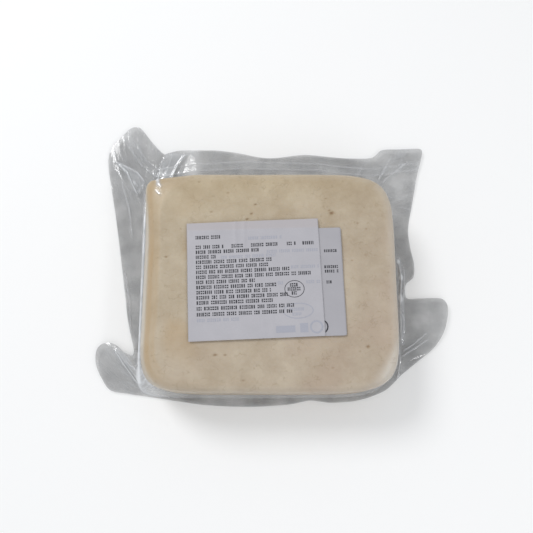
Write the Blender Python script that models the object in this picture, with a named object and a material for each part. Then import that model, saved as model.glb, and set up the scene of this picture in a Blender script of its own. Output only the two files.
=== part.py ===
"""A block of coalho cheese, vacuum-packed in a clear pouch that lies on its back, with two
paper labels on its top face. Metres, +Z up, +X along the block's long side.

The pouch is two webs of film, sealed to each other all round in the real pack. Both are
swept over the same spokes, which run from the foot of the block's wall out to the rim.
"""

import bpy
import numpy as np

# The block: the reach of each wall at its foot, from the middle of the plan
BLOCK_LEFT, BLOCK_RIGHT, BLOCK_FAR, BLOCK_NEAR = 0.0842, 0.0826, 0.0721, 0.0708
BLOCK_HEIGHT = 0.039
PLAN_EXPONENT = 6.5  # of the rounded rectangle that the block is, seen from above
SQUARE_EXPONENT = 16  # of a corner that kept the mould's square shape at its foot
CORNER_FROM = 0.6  # cosine of the bearing from which a left corner has its own exponent
TOP_EDGE_RADIUS = 0.005
BOTTOM_EDGE_RADIUS = 0.002
# The left wall lay against the mould: it leans out in one broad round, top to foot
MOULD_SIDE_REACH = 0.016
MOULD_SIDE_DROP = 0.036
MOULD_SIDE_STARTS, MOULD_SIDE_FULL = 0.45, 0.95  # cosine of the bearing, to the left
# Its far corner is square low down, and drawn in to a round over these shares of the rise
LEDGE_STARTS, LEDGE_ENDS = 0.6, 0.95
TOP_RELIEF = 0.00035
RELIEF_LENGTH = 0.062
RELIEF_WAVES = ((1.0, 0.6, 0.0), (-0.4, 1.3, 1.0), (0.7, 0.7, 0.0))  # along x, along y, phase
SHARP_FROM = np.radians(50)

# The pouch. The foot is where the front web leaves the block's wall and meets the back web
FILM = 0.0004
GAP = 0.0003
FOOT_LEFT, FOOT_RIGHT, FOOT_FAR, FOOT_NEAR = 0.0036, 0.0022, 0.0032, 0.0018
FOOT_NEAR_SQUARE = 0.3  # how far the near left corner of the foot is from round to square
LEAVES_WALL_AT = 0.0034
FILLET_HEIGHT, FILLET_SHARE = 0.0018, 0.55  # of the way from the foot to the wall
SPOKES = 112
FLAP_STEPS = (0.25, 0.5, 0.75, 1.0)
EDGE_RIPPLE = 0.0003
RIPPLES = 11

# Points of the rim, about the block's centre, each with the bearing of the spoke that
# reaches it, in degrees. Where a corner flares past the wall, the spokes fan out to it.
RIM = (
    (-180, -0.0985, -0.0035),
    (-170, -0.0968, -0.0155),
    (-163, -0.0947, -0.0255),
    (-157, -0.0922, -0.0345),
    (-151, -0.0906, -0.0405),
    (-148.3, -0.0907, -0.0444),
    (-146.8, -0.0924, -0.0442),
    (-145, -0.0966, -0.0425),
    (-143.5, -0.1024, -0.0377),
    (-142, -0.1064, -0.0363),
    (-140.5, -0.1116, -0.0368),
    (-139.5, -0.1150, -0.0400),
    (-138.5, -0.1160, -0.0450),
    (-137, -0.1150, -0.0520),
    (-136, -0.1110, -0.0600),
    (-134.5, -0.1050, -0.0675),
    (-132, -0.0926, -0.0700),
    (-128, -0.0775, -0.0722),
    (-122, -0.0586, -0.0750),
    (-115, -0.0425, -0.0772),
    (-100, -0.0160, -0.0785),
    (-84, 0.0090, -0.0775),
    (-77, 0.0190, -0.0762),
    (-72, 0.0275, -0.0744),
    (-67.5, 0.0350, -0.0750),
    (-63, 0.0421, -0.0758),
    (-54, 0.0606, -0.0742),
    (-46, 0.0776, -0.0684),
    (-41.5, 0.0848, -0.0628),
    (-38, 0.0893, -0.0582),
    (-33, 0.1010, -0.0490),
    (-28, 0.1124, -0.0399),
    (-23.5, 0.1195, -0.0300),
    (-20, 0.1230, -0.0190),
    (-17, 0.1235, -0.0105),
    (-14, 0.1205, -0.0062),
    (-11, 0.1146, -0.0053),
    (-8, 0.1055, -0.0054),
    (-5, 0.0970, -0.0055),
    (-2, 0.0956, -0.0030),
    (4, 0.0963, 0.0045),
    (8, 0.1017, 0.0097),
    (14, 0.1028, 0.0188),
    (21.5, 0.1010, 0.0305),
    (29, 0.1001, 0.0443),
    (35, 0.1036, 0.0623),
    (39.5, 0.1086, 0.0856),
    (42.5, 0.1132, 0.1030),
    (44, 0.1119, 0.1057),
    (45.5, 0.0971, 0.1053),
    (47, 0.0836, 0.1046),
    (48.5, 0.0765, 0.0990),
    (53, 0.0655, 0.0986),
    (62, 0.0452, 0.1003),
    (72.5, 0.0269, 0.1017),
    (89.5, 0.0005, 0.0994),
    (106, -0.0248, 0.1037),
    (116, -0.0418, 0.1055),
    (126, -0.0640, 0.1047),
    (129, -0.0725, 0.1022),
    (130.5, -0.0752, 0.1013),
    (132, -0.0831, 0.1091),
    (133.5, -0.0921, 0.1205),
    (134.5, -0.0950, 0.1228),
    (135.5, -0.1000, 0.1224),
    (137, -0.1067, 0.1159),
    (138.5, -0.1130, 0.1085),
    (140, -0.1158, 0.1010),
    (142, -0.1155, 0.0905),
    (145.5, -0.1126, 0.0750),
    (152, -0.1085, 0.0540),
    (164.5, -0.1035, 0.0260),
)
# Bearing and half width in degrees, and height. Both webs rise at the rim of an ear;
# a gusset is a standing fold of the front web alone, highest midway along its spokes
EARS = ((131, 14, 0.0022), (47, 13, 0.0018), (-16, 15, 0.0028), (-143, 14, 0.0026))
GUSSETS = (
    (141, 6, 0.0030),
    (120, 5, 0.0026),
    (52, 5, 0.0016),
    (-33, 6, 0.0022),
    (-143, 6, 0.0034),
)

# The labels: length, width, corner radius, centre and turn
LABEL_PAPER = 0.0002
REAR_LABEL = (0.098, 0.070, 0.0012, (-0.0008, -0.0027), np.radians(1.7))
FRONT_LABEL = (0.0849, 0.0764, 0.0002, (-0.0082, -0.0002), np.radians(2.5))
LABEL_COLUMNS, LABEL_ROWS = 12, 10

BLOCK_BASE = FILM + GAP
BLOCK_TOP = BLOCK_BASE + BLOCK_HEIGHT
FILM_TOP = BLOCK_TOP + GAP + FILM


def smooth_step(x):
    x = np.clip(x, 0, 1)
    return x * x * (3 - 2 * x)


def mould_side(bearing):
    """1 on the left wall, falling to 0 round its two corners."""
    past = -np.cos(bearing) - MOULD_SIDE_STARTS
    return smooth_step(past / (MOULD_SIDE_FULL - MOULD_SIDE_STARTS))


def plan_point(bearing, reaches, far_square, near_square):
    """The point of a superellipse in the direction of each bearing, for its reaches to the
    left, right, far and near. The two squares, from 0 to 1, bring the far and the near
    corner on the left from round to square."""
    left, right, far, near = reaches
    c, s = np.cos(bearing), np.sin(bearing)
    square = np.where(s > 0, far_square, near_square) * smooth_step(-c / CORNER_FROM)
    n = PLAN_EXPONENT + (SQUARE_EXPONENT - PLAN_EXPONENT) * square
    spread = (np.abs(c) ** n + np.abs(s) ** n) ** (-1 / n)
    x = c * spread * np.where(c < 0, left, right)
    y = s * spread * np.where(s < 0, near, far)
    return np.stack([x, y], axis=-1)


def block_plan(bearing, inset, far_square):
    """The block's outline drawn in by inset, which may differ from spoke to spoke."""
    walls = (BLOCK_LEFT, BLOCK_RIGHT, BLOCK_FAR, BLOCK_NEAR)
    return plan_point(bearing, [reach - inset for reach in walls], far_square, 0)


def foot_plan(bearing):
    """The line round the block where the front web comes down to the back web."""
    feet = (
        BLOCK_LEFT + FOOT_LEFT,
        BLOCK_RIGHT + FOOT_RIGHT,
        BLOCK_FAR + FOOT_FAR,
        BLOCK_NEAR + FOOT_NEAR,
    )
    return plan_point(bearing, feet, 1, FOOT_NEAR_SQUARE)


def rim_curve(samples=1600):
    """Bearing and place along the rim: a cubic through the points, whose slope at each is
    that of the chord between its neighbours."""
    table = np.array(RIM)
    points = table[:, 1:]
    nodes = np.concatenate([points[-1:], points, points[:2]])
    spans = np.linalg.norm(np.diff(nodes, axis=0), axis=1)
    along = np.concatenate([[0], np.cumsum(spans[1:-1])])
    slopes = (nodes[2:] - nodes[:-2]) / (spans[1:] + spans[:-1])[:, None]
    at = np.linspace(0, along[-1], samples, endpoint=False)
    k = np.searchsorted(along, at, side="right") - 1
    h = along[k + 1] - along[k]
    u = ((at - along[k]) / h)[:, None]
    start, end = points[k], points[(k + 1) % len(points)]
    rise, fall = slopes[k] * h[:, None], slopes[k + 1] * h[:, None]
    place = (
        (1 + 2 * u) * (1 - u) ** 2 * start
        + u * (1 - u) ** 2 * rise
        + u**2 * (3 - 2 * u) * end
        - u**2 * (1 - u) * fall
    )
    turned = np.radians(np.concatenate([table[:, 0], [table[0, 0] + 360]]))
    return np.interp(at, along, turned), place


def spokes():
    """The bearing and rim end of each spoke. Between two spokes, the length gone along the
    foot and the rim together is the same, so that they are close together at the ears."""
    bearing, rim = rim_curve()
    bearing = np.append(bearing, bearing[0] + 2 * np.pi)
    rim = np.vstack([rim, rim[:1]])
    foot = foot_plan(bearing)
    gone = sum(np.linalg.norm(np.diff(line, axis=0), axis=1) for line in (foot, rim))
    gone = np.concatenate([[0], np.cumsum(gone)])
    at = np.linspace(0, gone[-1], SPOKES, endpoint=False)
    ends = np.stack([np.interp(at, gone, rim[:, k]) for k in (0, 1)], axis=-1)
    return np.interp(at, gone, bearing), ends


def hump(bearing, middle, half_width):
    """1 at the middle bearing, falling smoothly to nothing at half_width to each side."""
    off = (bearing - np.radians(middle) + np.pi) % (2 * np.pi) - np.pi
    return smooth_step(1 - np.abs(off) / np.radians(half_width))


def relief(x, y):
    """The faint waves of the pressed top face."""
    u, v = 2 * np.pi * x / RELIEF_LENGTH, 2 * np.pi * y / RELIEF_LENGTH
    waves = sum(np.sin(a * u + b * v + phase) for a, b, phase in RELIEF_WAVES)
    return TOP_RELIEF * waves / len(RELIEF_WAVES)


BEARING, RIM_ENDS = spokes()


def level(plan, height):
    """A ring of the given plan, at one height or a height for each spoke."""
    return np.column_stack([plan, np.broadcast_to(height, len(plan))])


def shoulder(angle, outwards):
    """A ring on the round at the top of the block's wall, or outwards of it by the length
    given. Angle 0 is the top of the wall and 90 the edge of the top face."""
    left = mould_side(BEARING)
    reach = TOP_EDGE_RADIUS + (MOULD_SIDE_REACH - TOP_EDGE_RADIUS) * left
    drop = TOP_EDGE_RADIUS + (MOULD_SIDE_DROP - TOP_EDGE_RADIUS) * left
    c, s = np.cos(np.radians(angle)), np.sin(np.radians(angle))
    normal = np.stack([c / reach, s / drop])
    side, up = outwards * normal / np.linalg.norm(normal, axis=0)
    square = 1 - smooth_step((s - LEDGE_STARTS) / (LEDGE_ENDS - LEDGE_STARTS))
    plan = block_plan(BEARING, reach * (1 - c) - side, square)
    return level(plan, BLOCK_TOP - drop * (1 - s) + up)


SHOULDER_ANGLES = (0, 25, 40, 57, 74, 90)
TOP_SHARES = (0.8, 0.55, 0.28)


def over_the_top(outwards):
    """The rings from the top of the wall to near the middle of the top face."""
    rings = [shoulder(angle, outwards) for angle in SHOULDER_ANGLES]
    for share in TOP_SHARES:
        plan = rings[len(SHOULDER_ANGLES) - 1][:, :2] * share
        rings.append(level(plan, BLOCK_TOP + outwards + relief(*plan.T)))
    return rings


def skin(rings, centres):
    """Faces between neighbouring rings, and a fan on each end ring that has a centre."""
    count = len(rings[0])
    points = list(np.concatenate(rings))
    i = np.arange(count)
    j = (i + 1) % count
    faces = []
    for k in range(len(rings) - 1):
        low, high = k * count, (k + 1) * count
        faces += np.stack([low + i, low + j, high + j, high + i], axis=1).tolist()
    first, last = centres
    if first is not None:
        faces += [(b, a, len(points)) for a, b in zip(i.tolist(), j.tolist())]
        points.append(first)
    if last is not None:
        top = (len(rings) - 1) * count
        faces += [(top + a, top + b, len(points)) for a, b in zip(i.tolist(), j.tolist())]
        points.append(last)
    return points, faces


def material(name, colour, roughness, alpha=1.0):
    made = bpy.data.materials.new(name)
    made.use_nodes = True
    shader = made.node_tree.nodes["Principled BSDF"]
    shader.inputs["Base Color"].default_value = (*colour, 1)
    shader.inputs["Roughness"].default_value = roughness
    shader.inputs["Metallic"].default_value = 0
    shader.inputs["Alpha"].default_value = alpha
    made.diffuse_color = (*colour, alpha)
    return made


def place(name, points, faces, finish, parent, smooth_under=None):
    mesh = bpy.data.meshes.new(name)
    mesh.from_pydata([tuple(map(float, p)) for p in points], [], faces)
    mesh.materials.append(finish)
    mesh.shade_smooth()
    if smooth_under is not None:
        mesh.set_sharp_from_angle(angle=smooth_under)
    made = bpy.data.objects.new(name, mesh)
    made.parent = parent
    bpy.context.scene.collection.objects.link(made)
    return made


def thicken(sheet, thickness):
    """Gives a sheet its thickness, on the side that its faces point to."""
    wall = sheet.modifiers.new("thickness", "SOLIDIFY")
    wall.thickness = thickness
    wall.offset = 1


def cheese_block(parent):
    """The block: flat underneath, with straight cut walls on three sides."""
    inset = BOTTOM_EDGE_RADIUS
    turn = inset * (1 - np.sqrt(0.5))
    rings = [
        level(block_plan(BEARING, inset, 1), BLOCK_BASE),
        level(block_plan(BEARING, turn, 1), BLOCK_BASE + turn),
        level(block_plan(BEARING, 0, 1), BLOCK_BASE + inset),
    ]
    rings += over_the_top(0.0)
    centre = (0, 0, BLOCK_TOP + relief(0, 0))
    points, faces = skin(rings, ((0, 0, BLOCK_BASE), centre))
    cream = material("cheese", (0.60, 0.50, 0.36), 0.45)
    return place("cheese_block", points, faces, cream, parent, SHARP_FROM)


def flap_height(step):
    """How far both webs rise above the floor along the flap, at a share of its width."""
    ears = sum(height * hump(BEARING, at, wide) for at, wide, height in EARS)
    ripple = EDGE_RIPPLE * (1 + np.sin(RIPPLES * BEARING))
    return step**2 * ears + step * ripple


def gusset_height(step):
    """How far the front web's folds stand above the back web."""
    folds = sum(height * hump(BEARING, at, wide) for at, wide, height in GUSSETS)
    return 4 * step * (1 - step) * folds


def flap(step, height):
    foot = foot_plan(BEARING)
    return level(foot + step * (RIM_ENDS - foot), height)


def back_film(parent, finish):
    """The back web, flat under the block. Its faces point up, and its upper side is
    FILM above the floor there."""
    rings = [flap(step, flap_height(step)) for step in reversed((0.0, *FLAP_STEPS))]
    points, faces = skin(rings, (None, (0, 0, 0)))
    sheet = place("back_film", points, faces, finish, parent)
    thicken(sheet, FILM)
    return sheet


def front_film(parent, finish):
    """The front web: over the flap, up the wall in a small round, and over the top."""
    rings = []
    for step in reversed((0.0, *FLAP_STEPS)):
        rings.append(flap(step, FILM + GAP + flap_height(step) + gusset_height(step)))
    wall = over_the_top(GAP)
    leaves = level(wall[0][:, :2], LEAVES_WALL_AT)
    foot, lowest = rings[-1][:, :2], wall[0][:, :2]
    turn = level(foot + FILLET_SHARE * (lowest - foot), FILLET_HEIGHT)
    centre = (0, 0, BLOCK_TOP + GAP + relief(0, 0))
    points, faces = skin([*rings, turn, leaves, *wall], (None, centre))
    sheet = place("front_film", points, faces, finish, parent)
    thicken(sheet, FILM)
    return sheet


def label(name, size, height, finish, parent):
    """A sheet of paper that follows the top face, its corners cut to a radius: each row is
    shortened where it passes through the corner rounds."""
    length, width, radius, centre, turn = size
    across = np.linspace(-1, 1, LABEL_COLUMNS + 1)
    up = width / 2 * np.sin(np.linspace(-np.pi / 2, np.pi / 2, LABEL_ROWS + 1))
    into = np.clip((np.abs(up) - (width / 2 - radius)) / radius, 0, 1)
    half = length / 2 - radius * (1 - np.sqrt(1 - into**2))
    x, y = half[:, None] * across, np.broadcast_to(up[:, None], (up.size, across.size))
    c, s = np.cos(turn), np.sin(turn)
    z = height + relief(centre[0] + c * x - s * y, centre[1] + s * x + c * y)
    points = np.stack([x, y, z], axis=-1).reshape(-1, 3)
    corner = np.arange(points.shape[0]).reshape(x.shape)
    quads = (corner[:-1, :-1], corner[:-1, 1:], corner[1:, 1:], corner[1:, :-1])
    faces = np.stack(quads, axis=-1).reshape(-1, 4).tolist()
    sheet = place(name, points, faces, finish, parent)
    sheet.location = (*centre, 0)
    sheet.rotation_euler.z = turn
    thicken(sheet, LABEL_PAPER)
    return sheet


def pack():
    for old in list(bpy.data.objects):
        bpy.data.objects.remove(old, do_unlink=True)
    lowest, highest = RIM_ENDS.min(axis=0), RIM_ENDS.max(axis=0)
    middle = (lowest + highest) / 2
    origin = bpy.data.objects.new("pack_middle", None)
    origin.location = (-middle[0], -middle[1], 0)
    bpy.context.scene.collection.objects.link(origin)

    cheese_block(origin)
    film = material("clear_film", (0.75, 0.77, 0.80), 0.15, alpha=0.3)
    back_film(origin, film)
    front_film(origin, film)
    paper = material("label_paper", (0.47, 0.46, 0.49), 0.55)
    rear_height = FILM_TOP + GAP
    label("rear_label", REAR_LABEL, rear_height, paper, origin)
    front_height = rear_height + LABEL_PAPER + GAP
    label("front_label", FRONT_LABEL, front_height, paper, origin)


pack()
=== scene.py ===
import bpy
import numpy as np
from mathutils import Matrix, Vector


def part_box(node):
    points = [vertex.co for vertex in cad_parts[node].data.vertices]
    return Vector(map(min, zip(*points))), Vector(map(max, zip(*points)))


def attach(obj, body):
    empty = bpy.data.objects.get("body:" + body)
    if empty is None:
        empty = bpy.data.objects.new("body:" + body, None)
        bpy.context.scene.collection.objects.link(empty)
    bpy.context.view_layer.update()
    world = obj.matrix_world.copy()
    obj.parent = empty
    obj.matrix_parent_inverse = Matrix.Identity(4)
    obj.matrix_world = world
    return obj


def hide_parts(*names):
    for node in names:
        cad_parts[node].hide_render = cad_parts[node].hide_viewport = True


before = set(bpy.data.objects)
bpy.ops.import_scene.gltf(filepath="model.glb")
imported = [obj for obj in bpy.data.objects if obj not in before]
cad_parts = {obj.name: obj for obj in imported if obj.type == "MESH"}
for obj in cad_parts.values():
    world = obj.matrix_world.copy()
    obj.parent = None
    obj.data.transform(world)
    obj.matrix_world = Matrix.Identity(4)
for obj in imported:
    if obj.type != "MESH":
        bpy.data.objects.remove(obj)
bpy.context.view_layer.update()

# The camera stands over the near side of the pack, as for a photograph taken by hand from
# above: 13.9 degrees off the vertical and 0.40 m from the top face.
camera_tilt = np.radians(13.9)
camera_distance = 0.400
camera_aim = np.array((-0.00455, -0.01437, 0.040))
camera = bpy.data.objects.new("camera", bpy.data.cameras.new("camera"))
camera.location = camera_aim + camera_distance * np.array(
    (0, -np.sin(camera_tilt), np.cos(camera_tilt)))
camera.rotation_euler = (camera_tilt, 0, 0)
camera.data.lens = 42.42
camera.data.clip_start = 0.02
bpy.context.scene.collection.objects.link(camera)
bpy.context.scene.camera = camera


# The block of cheese: curd pressed in a mould, then cut on three sides. Its left wall lay
# against the mould, so it slopes in one broad round and has dried to a tan skin. The pressed
# top face is nearly flat, with faint waves, a few pits and hairline cracks.
WALLS = (0.0842, 0.0826, 0.0721, 0.0708)  # reach at the foot: left, right, far, near
BLOCK_BASE, BLOCK_TOP = 0.0007, 0.0397
PLAN_MIDDLE = np.array(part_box("cheese_block")[0])[:2] + (WALLS[0], WALLS[3])
FLOOR_EDGE = 0.002
EDGE_ROUND = 0.005
MOULD_REACH, MOULD_DROP = 0.016, 0.036
MOULD_FROM, MOULD_FULL = 0.45, 0.95  # how far left a bearing points, of 1
PLAN_POWER, SQUARE_POWER = 6.5, 26.0
LEDGE_FROM, LEDGE_TO = 0.80, 0.99  # of the shoulder's rise
WAVE_LENGTH, WAVE_HEIGHT = 0.062, 0.00035
WAVES_FADE_IN = 0.2  # of the way from the top face's edge to its middle
BLOCK_COLUMNS = 640
PIT_LONG, PIT_SHORT, PIT_RAGGED = 0.85, 1.3, 0.55
# Each pit: where it is from the middle of the plan, its half width and its depth
PITS = (
    (0.0417, 0.0439, 0.0012, 0.0006),
    (0.0403, 0.0457, 0.0007, 0.0004),
    (0.0380, 0.0538, 0.0006, 0.0003),
    (0.0584, 0.0370, 0.0007, 0.0003),
    (0.0637, 0.0330, 0.0006, 0.0003),
    (-0.0079, 0.0497, 0.0009, 0.0004),
    (-0.0104, 0.0433, 0.0009, 0.0004),
    (-0.0133, 0.0396, 0.0009, 0.0004),
    (-0.0259, 0.0577, 0.0007, 0.0003),
    (-0.0452, 0.0654, 0.0007, 0.0003),
    (-0.0365, 0.0447, 0.0008, 0.0003),
    (-0.0324, -0.0482, 0.0010, 0.0005),
    (-0.0262, -0.0482, 0.0008, 0.0004),
    (0.0621, -0.0429, 0.0010, 0.0005),
    (-0.0150, -0.0637, 0.0007, 0.0003),
    (-0.0649, 0.0142, 0.0008, 0.0004),
    (-0.0560, 0.0330, 0.0006, 0.0003),
    (0.0540, 0.0120, 0.0006, 0.0003),
    (0.0400, -0.0560, 0.0006, 0.0003),
)


def smooth_step(x):
    """Rises from 0 to 1 as x does, level at both ends: three x squared less two x cubed."""
    x = np.clip(x, 0, 1)
    return x * x * (3 - 2 * x)


def band(x, start, end, rise, fall):
    """1 between start and end, rising smoothly over the rise past the start and falling over
    the fall before the end."""
    return smooth_step((x - start) / rise) * smooth_step((end - x) / fall)


def mould_side(bearing):
    """1 on the left wall, falling to 0 round its two corners."""
    return smooth_step((-np.cos(bearing) - MOULD_FROM) / (MOULD_FULL - MOULD_FROM))


def plan_point(bearing, reaches, far_square, near_square):
    """The point of a superellipse in each bearing's direction: cosine and sine, times the
    reach on that side, over the length of (cosine, sine) taken with the exponent n. The two
    squares, from 0 to 1, raise n at the far and the near corner on the left."""
    left, right, far, near = reaches
    c, s = np.cos(bearing), np.sin(bearing)
    square = np.where(s > 0, far_square, near_square) * smooth_step(-c / 0.6)
    n = PLAN_POWER + (SQUARE_POWER - PLAN_POWER) * square
    spread = (np.abs(c) ** n + np.abs(s) ** n) ** (-1 / n)
    return np.stack([c * spread * np.where(c < 0, left, right),
                     s * spread * np.where(s < 0, near, far)], axis=-1)


def relief(x, y):
    """The faint waves of the pressed face: the mean of three slanting sines of x and y."""
    u, v = 2 * np.pi * x / WAVE_LENGTH, 2 * np.pi * y / WAVE_LENGTH
    slanting = np.sin(u + 0.6 * v) + np.sin(1.3 * v - 0.4 * u + 1) + np.sin(0.7 * (u + v))
    return WAVE_HEIGHT * slanting / 3


def patches(x, y, cell, seed):
    """Random patches from -1 to 1: a seeded value at each corner of square cells, blended
    by smooth steps along both sides of the cell."""
    cells = 64
    values = np.random.default_rng(seed).uniform(-1, 1, (cells, cells))
    u, v = x / cell + 8 * cells, y / cell + 8 * cells
    i, j = np.floor(u).astype(int), np.floor(v).astype(int)
    a, b = smooth_step(u - i), smooth_step(v - j)
    i, j, after_i, after_j = i % cells, j % cells, (i + 1) % cells, (j + 1) % cells
    near = values[i, j] * (1 - a) + values[after_i, j] * a
    far = values[i, after_j] * (1 - a) + values[after_i, after_j] * a
    return near * (1 - b) + far * b


def shoulder(bearing, angle, outwards):
    """The round at the top of the wall, a quarter ellipse from angle 0 on the wall to a
    right angle at the top face, moved out along its normal. The far left corner is square
    up to most of the rise, and then drawn in to a round, which leaves a small ledge."""
    left = mould_side(bearing)
    reach = EDGE_ROUND + (MOULD_REACH - EDGE_ROUND) * left
    drop = EDGE_ROUND + (MOULD_DROP - EDGE_ROUND) * left
    c, s = np.cos(angle), np.sin(angle)
    side, up = c / reach, s / drop
    length = np.hypot(side, up)
    inset = reach * (1 - c) - outwards * side / length
    square = 1 - smooth_step((s - LEDGE_FROM) / (LEDGE_TO - LEDGE_FROM))
    plan = plan_point(bearing, [wall - inset for wall in WALLS], square, 0)
    return np.concatenate([plan, (BLOCK_TOP - drop * (1 - s) + outwards * up / length)[..., None]],
                          axis=-1)


def over_the_top(bearing, outwards, angles, shares):
    """Rows from the top of the wall to near the middle of the top face. Beyond the round,
    each row is the edge of the top face drawn in to a share, on the pressed relief."""
    rows = shoulder(bearing[None, :], np.radians(angles)[:, None], outwards)
    edge = rows[-1, :, :2]
    plan = edge[None] * np.asarray(shares)[:, None, None]
    fade = smooth_step((1 - np.asarray(shares)) / WAVES_FADE_IN)[:, None]
    z = BLOCK_TOP + outwards + fade * relief(plan[..., 0], plan[..., 1])
    return np.concatenate([rows, np.concatenate([plan, z[..., None]], axis=-1)])


def outward(grid):
    """Unit normals of a grid that closes on itself along its columns: the cross product of
    the step to the next column and the step to the next row."""
    across = np.roll(grid, -1, axis=1) - np.roll(grid, 1, axis=1)
    up = np.gradient(grid, axis=0)
    normal = np.cross(across, up)
    return normal / np.maximum(np.linalg.norm(normal, axis=-1, keepdims=True), 1e-12)


def ring_mesh(name, grid, first=None, last=None, place=True, face_down=False):
    """A mesh over a grid of rings, one quad between four neighbours, with a fan to a point
    at the end rings that have one. Rings run anticlockwise and rise or close in."""
    rows, count = grid.shape[:2]
    points = grid.reshape(-1, 3)
    i = np.arange(count)
    j = (i + 1) % count
    low = (np.arange(rows - 1) * count)[:, None]
    quads = np.stack([low + i, low + j, low + count + j, low + count + i], axis=-1)
    faces = quads.reshape(-1, 4).tolist()
    if first is not None:
        faces += np.stack([j, i, np.full(count, len(points))], axis=-1).tolist()
        points = np.vstack([points, first])
    if last is not None:
        top = (rows - 1) * count
        faces += np.stack([top + i, top + j, np.full(count, len(points))], axis=-1).tolist()
        points = np.vstack([points, last])
    if face_down:
        faces = [face[::-1] for face in faces]
    if place:
        points = points + (*PLAN_MIDDLE, 0)
    mesh = bpy.data.meshes.new(name)
    mesh.from_pydata(points.tolist(), [], faces)
    mesh.shade_smooth()
    made = bpy.data.objects.new(name, mesh)
    bpy.context.scene.collection.objects.link(made)
    return made


def set_attribute(piece, name, values):
    """Stores one number for each point of the piece, which its material reads."""
    full = np.zeros(len(piece.data.vertices), np.float32)
    full[: values.size] = values.reshape(-1)
    piece.data.attributes.new(name, "FLOAT", "POINT").data.foreach_set("value", full)


def shader_node(tree, kind, inputs=None, **settings):
    """Adds a node with the given settings; an input is a plain value or another socket."""
    made = tree.nodes.new("ShaderNode" + kind)
    for name, value in settings.items():
        setattr(made, name, value)
    for key, value in (inputs or {}).items():
        if isinstance(value, bpy.types.NodeSocket):
            tree.links.new(value, made.inputs[key])
        else:
            made.inputs[key].default_value = value
    return made


def new_material(name):
    """An empty material with its Principled shader, and its node tree."""
    made = bpy.data.materials.new(name)
    made.use_nodes = True
    return made, made.node_tree, made.node_tree.nodes["Principled BSDF"]


def soft_patches_group():
    """Shader group: noise of a number of patches per metre in object coordinates, stretched
    by a contrast about its middle to run from 0 to 1. Cheese, film and paper use it."""
    group = bpy.data.node_groups.new("soft_patches", "ShaderNodeTree")
    for name, value in (("Per metre", 30.0), ("Contrast", 2.0), ("Roughness", 0.5)):
        socket = group.interface.new_socket(name, in_out="INPUT", socket_type="NodeSocketFloat")
        socket.default_value = value
    group.interface.new_socket("Patch", in_out="OUTPUT", socket_type="NodeSocketFloat")
    given = group.nodes.new("NodeGroupInput")
    where = shader_node(group, "TexCoord")
    noise = shader_node(group, "TexNoise", {
        "Vector": where.outputs["Object"], "Scale": given.outputs["Per metre"],
        "Detail": 4.0, "Roughness": given.outputs["Roughness"]})
    middle = shader_node(group, "Math", {0: noise.outputs["Fac"], 1: 0.5}, operation="SUBTRACT")
    stretched = shader_node(group, "Math", {
        0: middle.outputs[0], 1: given.outputs["Contrast"], 2: 0.5},
        operation="MULTIPLY_ADD", use_clamp=True)
    out = group.nodes.new("NodeGroupOutput")
    group.links.new(stretched.outputs[0], out.inputs["Patch"])
    return group


SOFT_PATCHES = soft_patches_group()


def patch_node(tree, per_metre, contrast, roughness=0.5):
    """Places the group of soft patches in a material, with its own values."""
    made = tree.nodes.new("ShaderNodeGroup")
    made.node_tree = SOFT_PATCHES
    made.inputs["Per metre"].default_value = per_metre
    made.inputs["Contrast"].default_value = contrast
    made.inputs["Roughness"].default_value = roughness
    return made.outputs["Patch"]


def blend(tree, factor, a, b, kind="MIX"):
    """Mixes two colours by a factor."""
    made = shader_node(tree, "Mix", {0: factor}, data_type="RGBA", blend_type=kind)
    for socket, value in ((made.inputs[6], a), (made.inputs[7], b)):
        if isinstance(value, bpy.types.NodeSocket):
            tree.links.new(value, socket)
        else:
            socket.default_value = (*value, 1)
    return made.outputs[2]


def math_node(tree, operation, *values, clamp=False):
    """One arithmetic step on sockets or numbers."""
    return shader_node(tree, "Math", dict(enumerate(values)), operation=operation,
                       use_clamp=clamp).outputs[0]


def point_value(tree, name):
    """Reads a number stored on the piece's points."""
    return shader_node(tree, "Attribute", attribute_name=name).outputs["Fac"]


def block_rows(bearing):
    """The whole block: out from the floor's middle, round the lower edge, up the wall, round
    the shoulder and back to the middle of the top. Rows are close where the top face shows
    past the labels, and far apart under them."""
    def ring(inset, height):
        plan = plan_point(bearing, [wall - inset for wall in WALLS], 1, 0)
        return np.concatenate([plan, np.full((len(bearing), 1), height)], axis=1)
    floor_edge = ring(FLOOR_EDGE, BLOCK_BASE)
    rows = [floor_edge * (share, share, 1) for share in (0.1, 0.3, 0.5, 0.7, 0.9)]
    for angle in np.radians((0, 30, 60, 90)):
        rows.append(ring(FLOOR_EDGE * (1 - np.sin(angle)),
                         BLOCK_BASE + FLOOR_EDGE * (1 - np.cos(angle))))
    in_sight, under_labels = np.linspace(0.992, 0.54, 74), np.linspace(0.50, 0.011, 12)
    top = over_the_top(bearing, 0.0, np.linspace(0, 90, 26),
                       np.concatenate([in_sight, under_labels]))
    share = np.linspace(0, 1, 14)[1:-1, None, None]
    wall = rows[-1][None] * (1 - share) + top[:1] * share
    return np.concatenate([np.array(rows), wall, top])


block_bearing = np.linspace(-np.pi, np.pi, BLOCK_COLUMNS, endpoint=False)
block_grid = block_rows(block_bearing)
block_x, block_y, block_z = np.moveaxis(block_grid, -1, 0)
pit_depth = np.zeros(block_x.shape)
for x, y, half_width, depth in PITS:
    ragged = 1 + PIT_RAGGED * patches(block_x + y, block_y + x, 0.0009, 6)
    off = np.hypot((block_x - x) * PIT_LONG, (block_y - y) * PIT_SHORT) / half_width
    pit_depth += depth * np.exp(-(off**2) * ragged) * (block_z > 0.02)
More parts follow.
